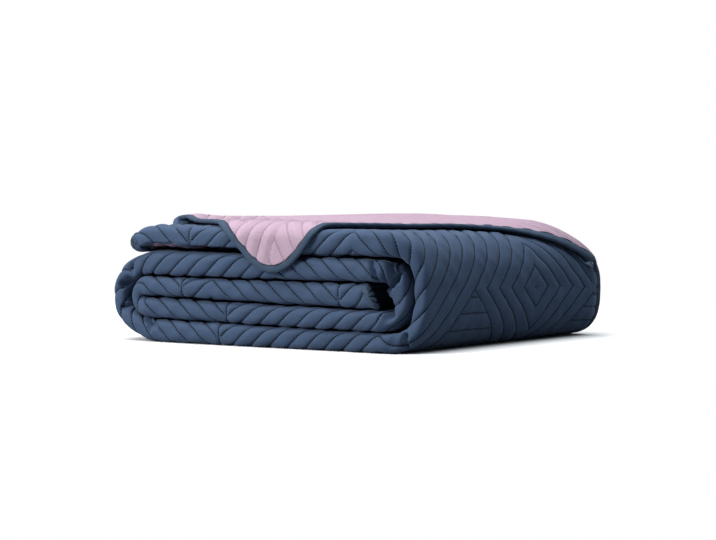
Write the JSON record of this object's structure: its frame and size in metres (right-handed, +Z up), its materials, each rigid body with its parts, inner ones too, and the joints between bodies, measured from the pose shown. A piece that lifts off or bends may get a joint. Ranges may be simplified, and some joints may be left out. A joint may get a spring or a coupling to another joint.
{
  "type": "folded quilted microfibre blanket",
  "caption": "Two-sided quilted microfibre blanket, folded into a flat layered stack with one bound corner turned back over the front.",
  "frame": {"origin": "on the surface the stack rests on, under the middle of its bounding box", "axes": "+X to the right along the front, where the folds of the strip show; +Y from the front to the bound edges at the back; +Z up"},
  "size_m": [0.4712, 0.4322, 0.1607],
  "materials": {
    "navy_microfibre": "matt",
    "rose_microfibre": "matt",
    "navy_tape": "matt"
  },
  "bodies": {
    "root": {"quilt": "navy_microfibre", "tape_back_outer": "navy_tape", "tape_back_inner": "navy_tape", "tape_core_end": "navy_tape", "tape_outer_end": "navy_tape", "tape_corner": "navy_tape"}
  },
  "joints": []
}
